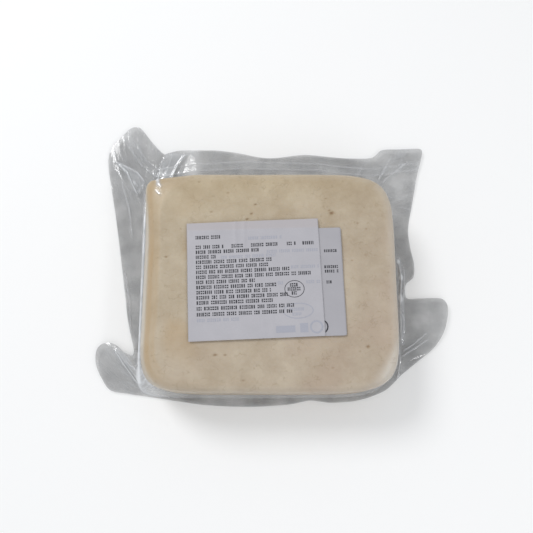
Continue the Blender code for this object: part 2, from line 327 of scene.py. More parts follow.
# The curd's grain, coarse and fine: height, cell, seed and which way it leans down the walls
curd = np.zeros(block_x.shape)
for grain, cell, seed, lean in ((0.00009, 0.0068, 3, 1), (0.00004, 0.0023, 4, -1)):
    curd += grain * patches(block_x + lean * block_z, block_y - lean * block_z, cell, seed)
curd *= smooth_step((block_z - 0.0012) / 0.004)
block_grid = block_grid + outward(block_grid) * (curd - pit_depth)[..., None]
cheese = ring_mesh("coalho_block", block_grid, (0, 0, BLOCK_BASE), block_grid[-1].mean(axis=0))

# Where the dried skin shows: a band high on the mould side's round, in degrees of climb, and
# its faded inner part
rise = (block_z - (BLOCK_TOP - MOULD_DROP)) / MOULD_DROP
climb = np.degrees(np.arcsin(np.clip(rise, 0, 1)))
block_mould_side = mould_side(block_bearing)[None, :]
skin_band, skin_tail = band(climb, 50, 79, 10, 12), band(climb, 60, 89.6, 10, 6)
skin = np.maximum(skin_band, 0.5 * skin_tail) * block_mould_side
set_attribute(cheese, "skin", skin * (0.85 + 0.3 * patches(block_x, block_y, 0.012, 5)))
# How deep each pit is, by which shade is painted into it
set_attribute(cheese, "pit", np.clip(pit_depth / 0.0004, 0, 1) ** 1.2)
# The cut walls' upper rounds are painted paler: painted light, as of light passing through the edge,
# and a painted highlight, most of all where the near right corner is thin. Below its skin the mould
# side is pale too.
EDGE_LIGHT_WIDTH = 0.0080
from_middle = np.abs([block_x / WALLS[1], block_y / WALLS[2]])
inwards = WALLS[1] * (1 - (from_middle**PLAN_POWER).sum(axis=0) ** (1 / PLAN_POWER))
high_up = smooth_step((rise - 0.55) / 0.3)
pale = high_up * smooth_step(1 - inwards / EDGE_LIGHT_WIDTH)
on_side = np.where(np.cos(block_bearing) > 0.7, 0.58, 0.25)
near_right = smooth_step(1 - np.abs(np.degrees(block_bearing) + 38) / 20)
pale = pale * on_side * (1 - block_mould_side)
pale += near_right * smooth_step((np.hypot(block_x, block_y) - 0.0872) / 0.007) * high_up
below_skin = smooth_step((56 - climb) / 10) * smooth_step((block_z - 0.002) / 0.002)
pale += 0.9 * below_skin * block_mould_side
set_attribute(cheese, "pale", np.clip(pale, 0, 1))

# The curd's two tones, each from the warm far left to the rosier near right, and what marks it
CURD_DEEP = (0.420, 0.338, 0.232), (0.396, 0.316, 0.234)
CURD_LIGHT = (0.538, 0.463, 0.350), (0.530, 0.453, 0.353)
FAR_TINT, ROSY_CURD = (0.970, 0.932, 0.845), (0.445, 0.340, 0.265)
PALE_AND_EDGE_LIGHT, TAN_SKIN = (0.620, 0.575, 0.510), (0.450, 0.312, 0.168)
CRACK_BROWN, PIT_SHADE_BROWN = (0.270, 0.195, 0.115), (0.228, 0.135, 0.058)

cheese_finish, tree, principled = new_material("coalho_curd")
wide, middle = patch_node(tree, 40, 3.8, 0.5), patch_node(tree, 150, 3.2, 0.55)
fine = patch_node(tree, 480, 3.2, 0.7)
blotch = patch_node(tree, 23, 4.5)
where = shader_node(tree, "TexCoord").outputs["Object"]
across = shader_node(tree, "SeparateXYZ", {0: where}).outputs
lower = shader_node(tree, "MapRange", {
    0: math_node(tree, "SUBTRACT", across["X"], across["Y"]), 1: -0.08, 2: 0.15},
    interpolation_type="SMOOTHSTEP").outputs[0]
deep, light = blend(tree, lower, *CURD_DEEP), blend(tree, lower, *CURD_LIGHT)
mottle = math_node(tree, "MULTIPLY_ADD", wide, 0.62, math_node(tree, "MULTIPLY_ADD", middle, 0.26,
                   math_node(tree, "MULTIPLY_ADD", fine, 0.20, -0.02)), clamp=True)
colour = blend(tree, mottle, deep, light)
far_edge = shader_node(tree, "MapRange", {0: across["Y"], 1: 0.010, 2: 0.042}).outputs[0]
far_left = math_node(tree, "MULTIPLY", far_edge, math_node(tree, "MULTIPLY_ADD", lower, -0.9, 0.9))
colour = blend(tree, far_left, colour, FAR_TINT, "MULTIPLY")
rosy = math_node(tree, "MULTIPLY", math_node(tree, "MULTIPLY", blotch, blotch), lower)
colour = blend(tree, math_node(tree, "MULTIPLY", rosy, 0.45), colour, ROSY_CURD)
# The pale colour: the pale mould side below its skin, and painted light on the cut edges
colour = blend(tree, math_node(tree, "MULTIPLY", point_value(tree, "pale"), 0.8), colour, PALE_AND_EDGE_LIGHT)
# Small specks: the middles of a few cells, chosen by the cells' own random colour
crumb = shader_node(tree, "TexVoronoi", {"Vector": where, "Scale": 150.0}, feature="F1")
chosen = math_node(tree, "GREATER_THAN", shader_node(tree, "SeparateColor", {
    0: crumb.outputs["Color"]}).outputs["Red"], 0.84)
speck = math_node(tree, "MULTIPLY", chosen, shader_node(tree, "MapRange", {
    0: crumb.outputs["Distance"], 1: 0.13, 2: 0.05}).outputs[0])
# Short hairline cracks: thin level lines of a noise, that another noise breaks up
hair = shader_node(tree, "TexNoise", {"Vector": where, "Scale": 150.0, "Detail": 2.5})
off_level = math_node(tree, "ABSOLUTE", math_node(tree, "SUBTRACT", hair.outputs["Fac"], 0.5))
crack = math_node(tree, "MULTIPLY",
                  shader_node(tree, "MapRange", {0: off_level, 1: 0.026, 2: 0.004}).outputs[0],
                  math_node(tree, "POWER", patch_node(tree, 190, 5.0), 3.0))
colour = blend(tree, point_value(tree, "skin"), colour, TAN_SKIN)
colour = blend(tree, math_node(tree, "MULTIPLY", crack, 0.30), colour, CRACK_BROWN)
# The specks are the curd's own; the pits are painted darker the deeper they are, painted shade in the
# hollows
specks_and_pit_shade = math_node(tree, "MAXIMUM", math_node(tree, "MULTIPLY", speck, 0.28),
                  math_node(tree, "MULTIPLY", point_value(tree, "pit"), 0.84))
colour = blend(tree, specks_and_pit_shade, colour, PIT_SHADE_BROWN)
tree.links.new(colour, principled.inputs["Base Color"])
height = math_node(tree, "MULTIPLY_ADD", crack, -0.5, math_node(tree, "MULTIPLY", middle, 0.8))
bump = shader_node(tree, "Bump", {"Height": height, "Strength": 0.3, "Distance": 0.0003})
tree.links.new(bump.outputs[0], principled.inputs["Normal"])
tree.links.new(math_node(tree, "MULTIPLY_ADD", middle, 0.12, 0.56), principled.inputs["Roughness"])
for socket, value in (("Specular IOR Level", 0.35), ("Coat Weight", 0.25), ("Coat Roughness", 0.34),
                      ("Subsurface Weight", 0.08), ("Subsurface Radius", (1.0, 0.7, 0.4)),
                      ("Subsurface Scale", 0.003)):
    principled.inputs[socket].default_value = value
cheese.data.materials.append(cheese_finish)
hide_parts("cheese_block")
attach(cheese, "root")


# The back web of the pouch: clear barrier film, flat under the block and out to the rim,
# where it is heat-sealed to the front web. Its corners flare and rise a little.
FILM, GAP = 0.0004, 0.0003
BACK_LEVEL = 0.0002
RIPPLES, RIPPLE_HEIGHT = 11, 0.0003
FLAP_SMOKE, BACK_SHARE = 0.27, 0.8
SMOKE_GREY, MILK_WHITE = (0.085, 0.085, 0.088), (0.80, 0.82, 0.85)
TWO_FACE_INDEX = 2.1
FEET = (0.0036, 0.0022, 0.0032, 0.0018)  # how far past each wall the front web comes down
# Each flared corner: its bearing and half width in degrees, and how far it stands up
EARS = ((131, 14, 0.0022), (47, 13, 0.0018), (-16, 15, 0.0028), (-143, 14, 0.0026))
# Points of the rim about the plan's middle, each with the bearing of its spoke in degrees
RIM = (
    (-180, -0.0985, -0.0035), (-170, -0.0968, -0.0155), (-163, -0.0947, -0.0255),
    (-157, -0.0922, -0.0345), (-151, -0.0906, -0.0405), (-148.3, -0.0907, -0.0444),
    (-146.8, -0.0924, -0.0442), (-145, -0.0966, -0.0425), (-143.5, -0.1024, -0.0377),
    (-142, -0.1064, -0.0363), (-140.5, -0.1116, -0.0368), (-139.5, -0.1150, -0.0400),
    (-138.5, -0.1160, -0.0450), (-137, -0.1150, -0.0520), (-136, -0.1110, -0.0600),
    (-134.5, -0.1050, -0.0675), (-132, -0.0926, -0.0700), (-128, -0.0775, -0.0722),
    (-122, -0.0586, -0.0750), (-115, -0.0425, -0.0772), (-100, -0.0160, -0.0785),
    (-84, 0.0090, -0.0775), (-77, 0.0190, -0.0762), (-72, 0.0275, -0.0744),
    (-67.5, 0.0350, -0.0750), (-63, 0.0421, -0.0758), (-54, 0.0606, -0.0742),
    (-46, 0.0776, -0.0684), (-41.5, 0.0848, -0.0628), (-38, 0.0893, -0.0582),
    (-33, 0.1010, -0.0490), (-28, 0.1124, -0.0399), (-23.5, 0.1195, -0.0300),
    (-20, 0.1230, -0.0190), (-17, 0.1235, -0.0105), (-14, 0.1205, -0.0062),
    (-11, 0.1146, -0.0053), (-8, 0.1055, -0.0054), (-5, 0.0970, -0.0055),
    (-2, 0.0956, -0.0030), (4, 0.0963, 0.0045), (8, 0.1017, 0.0097),
    (14, 0.1028, 0.0188), (21.5, 0.1010, 0.0305), (29, 0.1001, 0.0443),
    (35, 0.1036, 0.0623), (39.5, 0.1086, 0.0856), (42.5, 0.1132, 0.1030),
    (44, 0.1119, 0.1057), (45.5, 0.0971, 0.1053), (47, 0.0836, 0.1046),
    (48.5, 0.0765, 0.0990), (53, 0.0655, 0.0986), (62, 0.0452, 0.1003),
    (72.5, 0.0269, 0.1017), (89.5, 0.0005, 0.0994), (106, -0.0248, 0.1037),
    (116, -0.0418, 0.1055), (126, -0.0640, 0.1047), (129, -0.0725, 0.1022),
    (130.5, -0.0752, 0.1013), (132, -0.0831, 0.1091), (133.5, -0.0921, 0.1205),
    (134.5, -0.0950, 0.1228), (135.5, -0.1000, 0.1224), (137, -0.1067, 0.1159),
    (138.5, -0.1130, 0.1085), (140, -0.1158, 0.1010), (142, -0.1155, 0.0905),
    (145.5, -0.1126, 0.0750), (152, -0.1085, 0.0540), (164.5, -0.1035, 0.0260),
)


def foot_plan(bearing):
    """The line round the block where the front web comes down to the back web."""
    return plan_point(bearing, np.add(WALLS, FEET), 1, 0.3)


def rim_curve(samples=3200):
    """Bearing and place along the rim: a cubic through the points, whose slope at each is
    that of the chord between its neighbours."""
    rim = np.array(RIM)
    points = rim[:, 1:]
    nodes = np.concatenate([points[-1:], points, points[:2]])
    spans = np.linalg.norm(np.diff(nodes, axis=0), axis=1)
    along = np.concatenate([[0], np.cumsum(spans[1:-1])])
    slopes = (nodes[2:] - nodes[:-2]) / (spans[1:] + spans[:-1])[:, None]
    at = np.linspace(0, along[-1], samples, endpoint=False)
    k = np.searchsorted(along, at, side="right") - 1
    h = (along[k + 1] - along[k])[:, None]
    u = (at - along[k])[:, None] / h
    place = ((1 + 2 * u) * (1 - u) ** 2 * points[k] + u * (1 - u) ** 2 * h * slopes[k]
             + u**2 * (3 - 2 * u) * points[(k + 1) % len(points)]
             - u**2 * (1 - u) * h * slopes[k + 1])
    turned = np.radians(np.append(rim[:, 0], rim[0, 0] + 360))
    return np.interp(at, along, turned), place


def spokes(count):
    """Bearing and rim end of each spoke, the same length of foot and rim together apart."""
    bearing, rim = rim_curve()
    bearing, rim = np.append(bearing, bearing[0] + 2 * np.pi), np.vstack([rim, rim[:1]])
    gone = sum(np.linalg.norm(np.diff(line, axis=0), axis=1) for line in (foot_plan(bearing), rim))
    gone = np.concatenate([[0], np.cumsum(gone)])
    at = np.linspace(0, gone[-1], count, endpoint=False)
    ends = np.stack([np.interp(at, gone, rim[:, k]) for k in (0, 1)], axis=-1)
    return np.interp(at, gone, bearing), ends


def hump(bearing, middle, half_width):
    """1 at the middle bearing, falling smoothly to nothing at half_width to each side."""
    off = (bearing - np.radians(middle) + np.pi) % (2 * np.pi) - np.pi
    return smooth_step(1 - np.abs(off) / np.radians(half_width))


def flap_height(bearing, step):
    """How far both webs rise above the floor at a share of the flap's width."""
    ears = sum(height * hump(bearing, at, wide) for at, wide, height in EARS)
    return step**2 * ears + step * RIPPLE_HEIGHT * (1 + np.sin(RIPPLES * bearing))


def flap_rows(bearing, ends, steps):
    """Plan of the flap: from the foot, a share of the way along each spoke to the rim."""
    foot = foot_plan(bearing)
    return foot[None] + steps[:, None, None] * (ends - foot)[None]


def clear_film():
    """Clear glossy film. Smoke is its own faint dullness, and milk how white it is at folds, seals
    and creases, and also the highlights and sheen painted on it in white; noise breaks both up. The
    high index stands for the two reflecting faces of each web, which the low alpha would else dim."""
    finish, tree, principled = new_material("clear_film")
    cloud, crackle = patch_node(tree, 60, 2.6), patch_node(tree, 420, 3.0)
    smoke = math_node(tree, "MULTIPLY", point_value(tree, "smoke"),
                      math_node(tree, "MULTIPLY_ADD", cloud, 0.50, 0.75))
    milk_and_highlights = math_node(tree, "MULTIPLY", point_value(tree, "milk_and_highlights"),
                     math_node(tree, "MULTIPLY_ADD", cloud, 0.6, 0.7))
    alpha = math_node(tree, "ADD", smoke, milk_and_highlights, clamp=True)
    tree.links.new(alpha, principled.inputs["Alpha"])
    share = math_node(tree, "DIVIDE", milk_and_highlights, math_node(tree, "MAXIMUM", alpha, 0.01), clamp=True)
    tree.links.new(blend(tree, share, SMOKE_GREY, MILK_WHITE), principled.inputs["Base Color"])
    tree.links.new(math_node(tree, "MULTIPLY_ADD", cloud, 0.08, 0.06), principled.inputs["Roughness"])
    rough = math_node(tree, "MULTIPLY_ADD", crackle, 0.3, math_node(tree, "MULTIPLY", cloud, 1.4))
    bump = shader_node(tree, "Bump", {"Height": rough, "Strength": 0.28, "Distance": 0.0005})
    tree.links.new(bump.outputs[0], principled.inputs["Normal"])
    principled.inputs["IOR"].default_value = TWO_FACE_INDEX
    return finish


film_finish = clear_film()
web_bearing, web_ends = spokes(900)
back_steps = np.linspace(1, 0, 24)
back_plan = flap_rows(web_bearing, web_ends, back_steps)
back_z = BACK_LEVEL + flap_height(web_bearing[None], back_steps[:, None])
back_grid = np.concatenate([back_plan, back_z[..., None]], axis=-1)
under = back_grid[-1][None] * np.array([(s, s, 1) for s in (0.9, 0.6, 0.3)])[:, None]
back_grid = np.concatenate([back_grid, under])
back_web = ring_mesh("back_web", back_grid, last=(0, 0, BACK_LEVEL), face_down=True)
set_attribute(back_web, "smoke", np.full(back_grid.shape[:2], BACK_SHARE * FLAP_SMOKE))
set_attribute(back_web, "milk_and_highlights", np.full(back_grid.shape[:2], 0.02))
back_web.data.materials.append(film_finish)
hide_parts("back_film")
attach(back_web, "root")


# The front web: the same film, drawn down over the block by the vacuum. It clings to the
# top and the walls, comes off each wall in a small round and lies on the back web out to
# the rim. It is pleated at the corners, and a double seal runs along the far mouth.
LEAVES_WALL_AT, TURNS_AT, TURN_SHARE = 0.0034, 0.0016, 0.6
TOP_SMOKE, FLAP_MILK = 0.012, 0.02
WRINKLE_WIDTH, WRINKLE_HEIGHT = 0.0048, 0.00028
SEAL_HALF, SEAL_RIM, SEAL_HEIGHT = 0.0026, 0.00045, 0.00025
DROP, DROP_RADIUS, DROP_RIM = (-0.0811, 0.0626), 0.0021, 0.0006
# Standing folds between foot and rim: bearing and half width in degrees, and height
GUSSETS = ((141, 6, 0.0030), (120, 5, 0.0026), (52, 5, 0.0016), (-33, 6, 0.0022),
           (-143, 6, 0.0034))
# Each crease: its points in the part's own plan in mm, half width and height in mm, and its
# whiteness, partly the folded film's own and partly a painted highlight along it
CREASES = (
    (((-113.4, 72.5), (-98.5, 65.5), (-91.8, 57.0)), 0.50, 0.9, 0.80),
    (((-113.4, 71.8), (-105.8, 65.5), (-101.6, 56.3), (-97.3, 47.8)), 0.55, 1.1, 0.85),
    (((-97.3, 47.8), (-95.0, 53.2), (-91.8, 56.3)), 0.45, 0.7, 0.70),
    (((-100.3, 57.4), (-97.2, 54.7)), 0.50, 0.5, 0.95),
    (((-111.9, 71.4), (-106.4, 64.8)), 0.55, 0.5, 0.70),
    (((-78.7, 77.1), (-81.4, 71.2), (-82.7, 60.0)), 0.55, 0.8, 0.60),
    (((-63.5, 80.2), (-69.7, 71.2), (-72.4, 64.2), (-74.3, 60.5)), 0.55, 0.9, 0.85),
    (((-107.0, -62.9), (-99.1, -74.6), (-91.3, -85.1)), 0.50, 0.9, 0.80),
    (((-105.6, -62.4), (-98.0, -73.4), (-91.0, -82.5)), 0.45, 0.5, 0.60),
    (((-99.2, -70.0), (-95.6, -74.0), (-93.2, -75.0), (-91.7, -72.6)), 0.45, 0.6, 0.70),
    (((87.1, -64.6), (95.5, -59.1), (105.5, -51.0)), 0.5, 0.4, 0.42),
    (((86.3, -67.9), (95.3, -62.5), (106.6, -55.1)), 0.5, 0.4, 0.45),
    (((85.8, -59.9), (85.2, -71.4), (83.3, -83.3)), 0.45, 0.5, 0.45),
    (((87.9, -0.6), (89.4, -12.7), (88.4, -22.6), (87.9, -31.0), (87.6, -43.3), (87.2, -60.3)),
     0.8, 1.2, 0.50),
    (((91.6, -4.2), (91.2, -18.6), (89.8, -29.2), (89.3, -56.7)), 0.5, 0.6, 0.50),
    (((76.1, 58.8), (80.9, 67.3), (86.5, 78.3)), 0.7, 0.3, 0.24),
    (((78.2, 56.5), (86.5, 64.2), (100.2, 75.1)), 0.7, 0.3, 0.22),
    (((-109.5, 60.0), (-103.0, 38.0), (-99.5, 15.0)), 0.6, 0.4, 0.30),
    (((-104.0, -5.0), (-99.0, -30.0), (-97.5, -52.0)), 0.6, 0.4, 0.28),
)
# Painted highlights: small white spots, three on the right-hand fold and one on the far left pleat:
# place and half width in mm
PAINTED_GLINTS = ((87.9, -1.2, 1.1), (89.3, -12.7, 1.0), (88.1, -27.6, 1.5), (-100.0, 57.0, 0.8))
# Pleats, where the film lies double and looks milky: corners of each, milk inside
PLEATS = (
    (((-113.4, 72.8), (-98.5, 65.5), (-91.5, 56.5), (-97.3, 47.8), (-102.5, 57.8)), 0.30),
    (((-63.5, 80.2), (-70.5, 70.0), (-74.5, 60.0), (-83.5, 60.0), (-81.4, 71.2), (-78.0, 80.5)),
     0.36),
    (((-107.0, -62.9), (-104.0, -60.5), (-91.0, -64.5), (-91.0, -84.5)), 0.42),
    (((-91.3, -85.2), (-91.3, -70.0), (-78.0, -80.0), (-76.0, -90.0)), 0.40),
    (((86.8, 1.0), (89.5, 2.5), (91.8, -4.0), (91.0, -18.0), (90.0, -30.0), (89.6, -60.0),
      (86.6, -60.0), (86.4, -30.0)), 0.20),
)
# The double seal along the far mouth, in mm
SEALS = (
    ((-109.1, 97.1), (-101.9, 84.8), (-93.4, 72.5), (-84.0, 65.0)),
    ((-84.0, 65.0), (-71.1, 67.1), (-60.3, 68.7), (-49.4, 69.5), (-34.1, 71.0), (-17.3, 71.4),
     (5.3, 70.6), (33.0, 70.1), (48.2, 67.9), (68.5, 65.2), (82.0, 67.0), (103.0, 70.0)),
)


def off_line(x, y, line):
    """Distance from each point to a run of straight pieces, and how far along it lies."""
    line = np.asarray(line) / 1000
    nearest, along, gone = np.full(x.shape, 1.0), np.zeros(x.shape), 0.0
    total = np.linalg.norm(np.diff(line, axis=0), axis=1).sum()
    for a, b in zip(line[:-1], line[1:]):
        length = np.linalg.norm(b - a)
        t = ((x - a[0]) * (b - a)[0] + (y - a[1]) * (b - a)[1]) / length**2
        held = np.clip(t, 0, 1)
        away = np.hypot(x - a[0] - held * (b - a)[0], y - a[1] - held * (b - a)[1])
        closer = away < nearest
        nearest = np.where(closer, away, nearest)
        along = np.where(closer, (gone + held * length) / total, along)
        gone += length
    return nearest, along


def bell(off, half_width):
    """1 where off is nought, falling to 1/e at the half width."""
    return np.exp(-((off / half_width) ** 2))


def ridge(x, y, line, half_width):
    """A fold's profile: a bell across the line, that fades in and out at its ends."""
    away, along = off_line(x, y, line)
    return bell(away, half_width) * band(along, 0, 1, 0.12, 0.12) ** 0.5


def inside(x, y, corners, softness=0.0012):
    """1 within a shape whose corners are given in order, fading out over the softness: the
    even-odd rule on crossings, times the distance to the outline."""
    loop = np.asarray(corners) / 1000
    within = np.zeros(x.shape, bool)
    for a, b in zip(loop, np.roll(loop, -1, axis=0)):
        crosses = (a[1] > y) != (b[1] > y)
        at = a[0] + (y - a[1]) / np.where(b[1] == a[1], 1e-9, b[1] - a[1]) * (b[0] - a[0])
        within ^= crosses & (x < at)
    away, _ = off_line(x, y, np.vstack([corners, corners[:1]]))
    return np.where(within, smooth_step(away / softness + 0.3), 0)


front_bearing, front_ends = spokes(1240)
front_steps = np.linspace(1, 0, 36)
front_plan = flap_rows(front_bearing, front_ends, front_steps)
folds = sum(height * hump(front_bearing, at, wide) for at, wide, height in GUSSETS)
step = front_steps[:, None]
front_z = FILM + GAP + flap_height(front_bearing[None], step) + 4 * step * (1 - step) * folds
front_flap = np.concatenate([front_plan, front_z[..., None]], axis=-1)
front_top = over_the_top(front_bearing, GAP, np.linspace(0, 90, 16), np.linspace(0.95, 0.03, 13))
leaves = front_top[0] * (1, 1, 0) + (0, 0, LEAVES_WALL_AT)
turn = front_flap[-1] * (1 - TURN_SHARE) + leaves * TURN_SHARE
turn[:, 2] = TURNS_AT
t = np.linspace(0, 1, 8)[1:, None, None]
fillet = (1 - t) ** 2 * front_flap[-1] + 2 * t * (1 - t) * turn + t**2 * leaves
share = np.linspace(0, 1, 9)[1:-1, None, None]
wall = leaves * (1 - share) + front_top[0] * share
front_grid = np.concatenate([front_flap, fillet, wall, front_top])
flap_count, wall_count = len(front_flap), len(fillet) + len(wall)

# Shares of flap and wall by the row of the grid, counted from the foot
x, y = front_grid[..., 0] + PLAN_MIDDLE[0], front_grid[..., 1] + PLAN_MIDDLE[1]
row = np.arange(len(front_grid))[:, None]
from_foot = row - flap_count + 1
on_flap = smooth_step((4 - from_foot) / 6) * np.ones(x.shape)
on_wall = band(from_foot, -3, wall_count + 10, 5, 9) * np.ones(x.shape)
# Beside the far left pleat the film is made clearer, which dims the lamp's reflection there: a
# reflection painted out
reflection_cut = 1 - 0.85 * hump(front_bearing, 122, 6)[None]
smoke = TOP_SMOKE + (FLAP_SMOKE - TOP_SMOKE) * on_flap * reflection_cut
lift, milk_and_highlights = np.zeros(x.shape), FLAP_MILK * on_flap
for line, half_width, height, white in CREASES:
    fold = ridge(x, y, line, half_width / 1000) * on_flap
    lift += fold * height / 1000
    milk_and_highlights = np.maximum(milk_and_highlights, fold * white)
for corners, white in PLEATS:
    milk_and_highlights = np.maximum(milk_and_highlights, inside(x, y, corners) * on_flap * white)
for line in SEALS:
    away, _ = off_line(x, y, line)
    milk_and_highlights += on_flap * (0.09 * smooth_step((SEAL_HALF - away) / 0.0006)
                       + 0.28 * bell(away - SEAL_HALF, SEAL_RIM))
    lift += on_flap * SEAL_HEIGHT * bell(away - SEAL_HALF, 0.0006)
# Painted highlights: white spots where the lamp would glint
for at_x, at_y, half_width in PAINTED_GLINTS:
    off = np.hypot(x - at_x / 1000, (y - at_y / 1000) * 0.6)
    milk_and_highlights += on_flap * bell(off, half_width / 1000)
# A small ring-shaped dimple, where a drop of whey is caught in the far left pleat
dimple = on_flap * bell(np.hypot(x - DROP[0], y - DROP[1]) - DROP_RADIUS, DROP_RIM)
milk_and_highlights += 0.25 * dimple
lift += 0.0003 * dimple
# Fine wrinkles run with the spokes: thin crests of stretched patches, more at the corners
around = np.cumsum(np.linalg.norm(front_plan[0] - np.roll(front_plan[0], 1, axis=0), axis=1))
spoke_length = np.linalg.norm(front_ends - front_flap[-1, :, :2], axis=1)
out_from_foot = step * spoke_length
wrinkle = np.zeros(x.shape)
crest = 1 - np.abs(patches(around[None] + 0.35 * out_from_foot, out_from_foot * 0.22,
                           WRINKLE_WIDTH, 11))
corner = sum(amount * hump(front_bearing, at, 22)
             for at, amount in ((131, 1.0), (47, 0.7), (-41, 0.3), (-138, 1.0)))
wrinkle[:flap_count] = crest**9 * (0.25 + 0.75 * corner)
lift += wrinkle * WRINKLE_HEIGHT * on_flap
# Their crests are painted whiter too, a painted sheen along the wrinkles
milk_and_highlights += wrinkle * 0.24 * on_flap
# Painted sheen: faint milky streaks drawn out along the spokes, standing for soft reflections on the
# film
cloud = patches(around[None] * 0.7 + 0.2 * out_from_foot, out_from_foot * 0.12, 0.0130, 12)
milk_and_highlights[:flap_count] += 0.10 * np.clip(cloud, 0, 1) * (0.35 + 0.65 * corner) * reflection_cut
# Along the mould side the film leaves the wall in a milky strip, with two painted highlight lines on
# it
left_side = mould_side(front_bearing)[None]
milk_and_highlights += bell(from_foot, 1.5) * (0.14 + 0.50 * left_side)
milk_and_highlights += left_side * (0.45 * bell(from_foot - 6, 1.3) + 0.38 * band(from_foot, -2, 9, 2, 3))
milk_and_highlights += 0.06 * on_wall
# Painted highlights: thin upright white streaks on the walls, most at the corners
upright = 1 - np.abs(patches(around[None], row * 0.0005, 0.0042, 13))
milk_and_highlights += on_wall * upright**9 * (0.04 + 0.22 * corner[None])
# It spans the near right corner a little off the block, milky, and higher up to the shoulder a
# highlight is painted on it
spanning = hump(front_bearing, -32, 18)[None]
milk_and_highlights += spanning * (0.20 * band(from_foot, -1, 14, 2, 6) + 0.14 * band(from_foot, 8, 24, 6, 8))
# The far left pleat pulls up over the shoulder, and a highlight is painted white along its crest
notch = ridge(x, y, ((-77.4, 47.5), (-75.8, 41.6), (-77.0, 35.0)), 0.0011) * (1 - on_flap)
lift += notch * 0.0009
milk_and_highlights += notch * 0.95
front_grid = front_grid + outward(front_grid) * lift[..., None]
front_web = ring_mesh("front_web", front_grid, last=front_grid[-1].mean(axis=0))
set_attribute(front_web, "smoke", smoke)
set_attribute(front_web, "milk_and_highlights", np.clip(milk_and_highlights, 0, 0.9))
front_web.data.materials.append(film_finish)
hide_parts("front_film")
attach(front_web, "root")


# The rear label: a white die-cut paper label with small round corners, stuck to the film
# first. Only its right margin and a strip along its top edge show past the front label.
LABEL_PAPER = 0.0002
PAPER_IN_SCENE = LABEL_PAPER * 0.6
PAPER_DEEP, PAPER_LIGHT = np.array((0.438, 0.430, 0.462)), np.array((0.482, 0.472, 0.505))
BARE_PAPER, FIBRE_GREY = (0.452, 0.415, 0.422), (0.40, 0.39, 0.42)
# Length, width, corner radius, centre in the plan and turn
REAR_LABEL = (0.098, 0.070, 0.0012, (-0.0008, -0.0027), np.radians(1.7))
REAR_HEIGHT = BLOCK_TOP + GAP + FILM + GAP


def label_place(label, along, up, height):
    """Points of a label, from lengths along it and up it from its centre, in the part's own
    frame: turned about the centre and laid on the pressed relief."""
    centre, turn = np.asarray(label[3]), label[4]
    c, s = np.cos(turn), np.sin(turn)
    x, y = centre[0] + c * along - s * up, centre[1] + s * along + c * up
    return np.stack([x + PLAN_MIDDLE[0], y + PLAN_MIDDLE[1], height + relief(x, y)], axis=-1)


def paper_sheet(name, label, height, columns, rows, wrinkles, bare):
    """A sheet of paper as a grid: evenly spaced columns, and rows closer together near the
    two ends, each shortened where it passes the round corners."""
    length, width, radius = label[:3]
    up = width / 2 * np.sin(np.linspace(-1, 1, rows) * np.pi / 2)
    into = np.clip((np.abs(up) - (width / 2 - radius)) / radius, 0, 1)
    half = length / 2 - radius * (1 - np.sqrt(1 - into**2))
    along = half[:, None] * np.linspace(-1, 1, columns)
    up = np.broadcast_to(up[:, None], along.shape)
    points = label_place(label, along, up, height + wrinkles(along, up)).reshape(-1, 3)
    corner = np.arange(rows * columns).reshape(rows, columns)
    quads = np.stack([corner[:-1, :-1], corner[:-1, 1:], corner[1:, 1:], corner[1:, :-1]], axis=-1)
    mesh = bpy.data.meshes.new(name)
    mesh.from_pydata(points.tolist(), [], quads.reshape(-1, 4).tolist())
    mesh.shade_smooth()
    mesh.set_sharp_from_angle(angle=np.radians(40))
    made = bpy.data.objects.new(name, mesh)
    bpy.context.scene.collection.objects.link(made)
    set_attribute(made, "bare", bare(along, up))
    thickness = made.modifiers.new("paper", "SOLIDIFY")
    thickness.thickness, thickness.offset = PAPER_IN_SCENE, 1
    return made


def rear_wrinkles(along, up):
    """Faint long waves in the sheet, under a tenth of a millimetre high."""
    return 0.00005 * patches(along, up, 0.016, 21)


def label_paper(name, tone):
    """Matte white label paper: faint fibre and cloudiness, cool beside the warm cheese. Its
    bare part, with no second label behind it, is warmer, because the cheese shows."""
    finish, tree, principled = new_material(name)
    cloud, fibre = patch_node(tree, 70, 2.0), patch_node(tree, 900, 2.2)
    colour = blend(tree, cloud, tuple(tone * PAPER_DEEP), tuple(tone * PAPER_LIGHT))
    colour = blend(tree, math_node(tree, "MULTIPLY", point_value(tree, "bare"), 0.7), colour,
                   BARE_PAPER)
    colour = blend(tree, math_node(tree, "MULTIPLY", fibre, 0.3), colour, FIBRE_GREY)
    tree.links.new(colour, principled.inputs["Base Color"])
    tree.links.new(math_node(tree, "MULTIPLY_ADD", fibre, 0.12, 0.50), principled.inputs["Roughness"])
    bump = shader_node(tree, "Bump", {"Height": fibre, "Strength": 0.2, "Distance": 0.00006})
    tree.links.new(bump.outputs[0], principled.inputs["Normal"])
    return finish


rear_label = paper_sheet("rear_paper", REAR_LABEL, REAR_HEIGHT, 90, 66, rear_wrinkles,
                         lambda along, up: along * 0)
rear_label.data.materials.append(label_paper("rear_paper", 0.83))
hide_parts("rear_label")
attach(rear_label, "root")


# The front label: a square-cornered slip of the same paper, stuck over the rear one and
# turned a little. The edge of the rear label and two folds show through it as low ridges.
FRONT_LABEL = (0.0849, 0.0764, 0.0002, (-0.0082, -0.0002), np.radians(2.5))
FRONT_HEIGHT = REAR_HEIGHT + LABEL_PAPER + GAP


